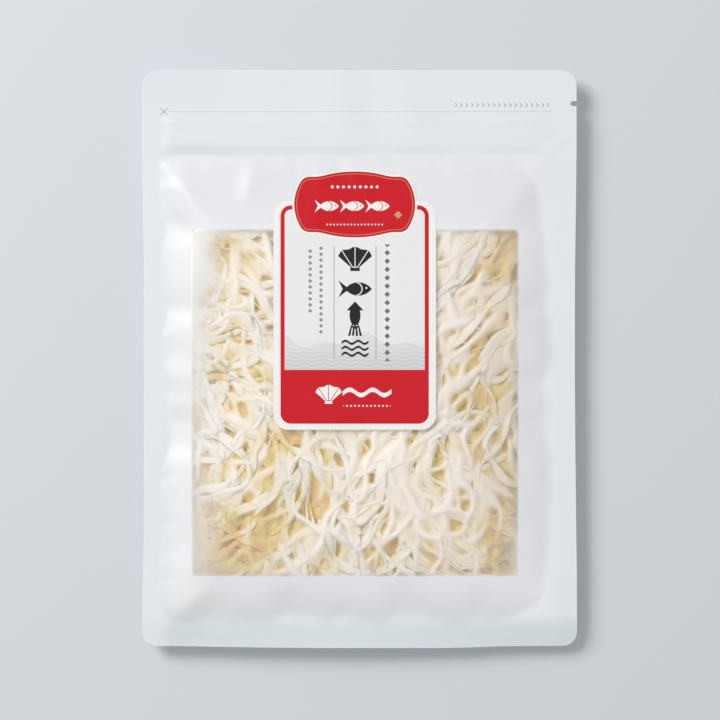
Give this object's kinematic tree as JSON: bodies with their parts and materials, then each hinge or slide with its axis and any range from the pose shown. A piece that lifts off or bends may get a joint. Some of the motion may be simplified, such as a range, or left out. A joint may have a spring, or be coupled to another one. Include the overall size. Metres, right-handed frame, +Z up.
{
  "type": "sealed pouch of shredded dried squid",
  "caption": "Flat resealable film pouch filled with shredded dried squid, lying on its back, with a clear window, a stuck-on label, a zip, sealed edges and a tear notch.",
  "frame": {"origin": "on the floor under the middle of the pouch's bounding box", "axes": "+Z up, out of the side with the window; +Y along the pouch towards its zip end; +X to the right as the label is read"},
  "size_m": [0.24, 0.319, 0.0286],
  "materials": {
    "film": "white printed laminate film with a soft gloss, clear over the window",
    "squid": "dry fibrous shreds of squid, cream on top and golden in the gaps",
    "label": "coated paper sticker, red and white print with a satin finish"
  },
  "bodies": {
    "root": {"pouch": "film", "squid": "squid", "label": "label"}
  },
  "joints": []
}
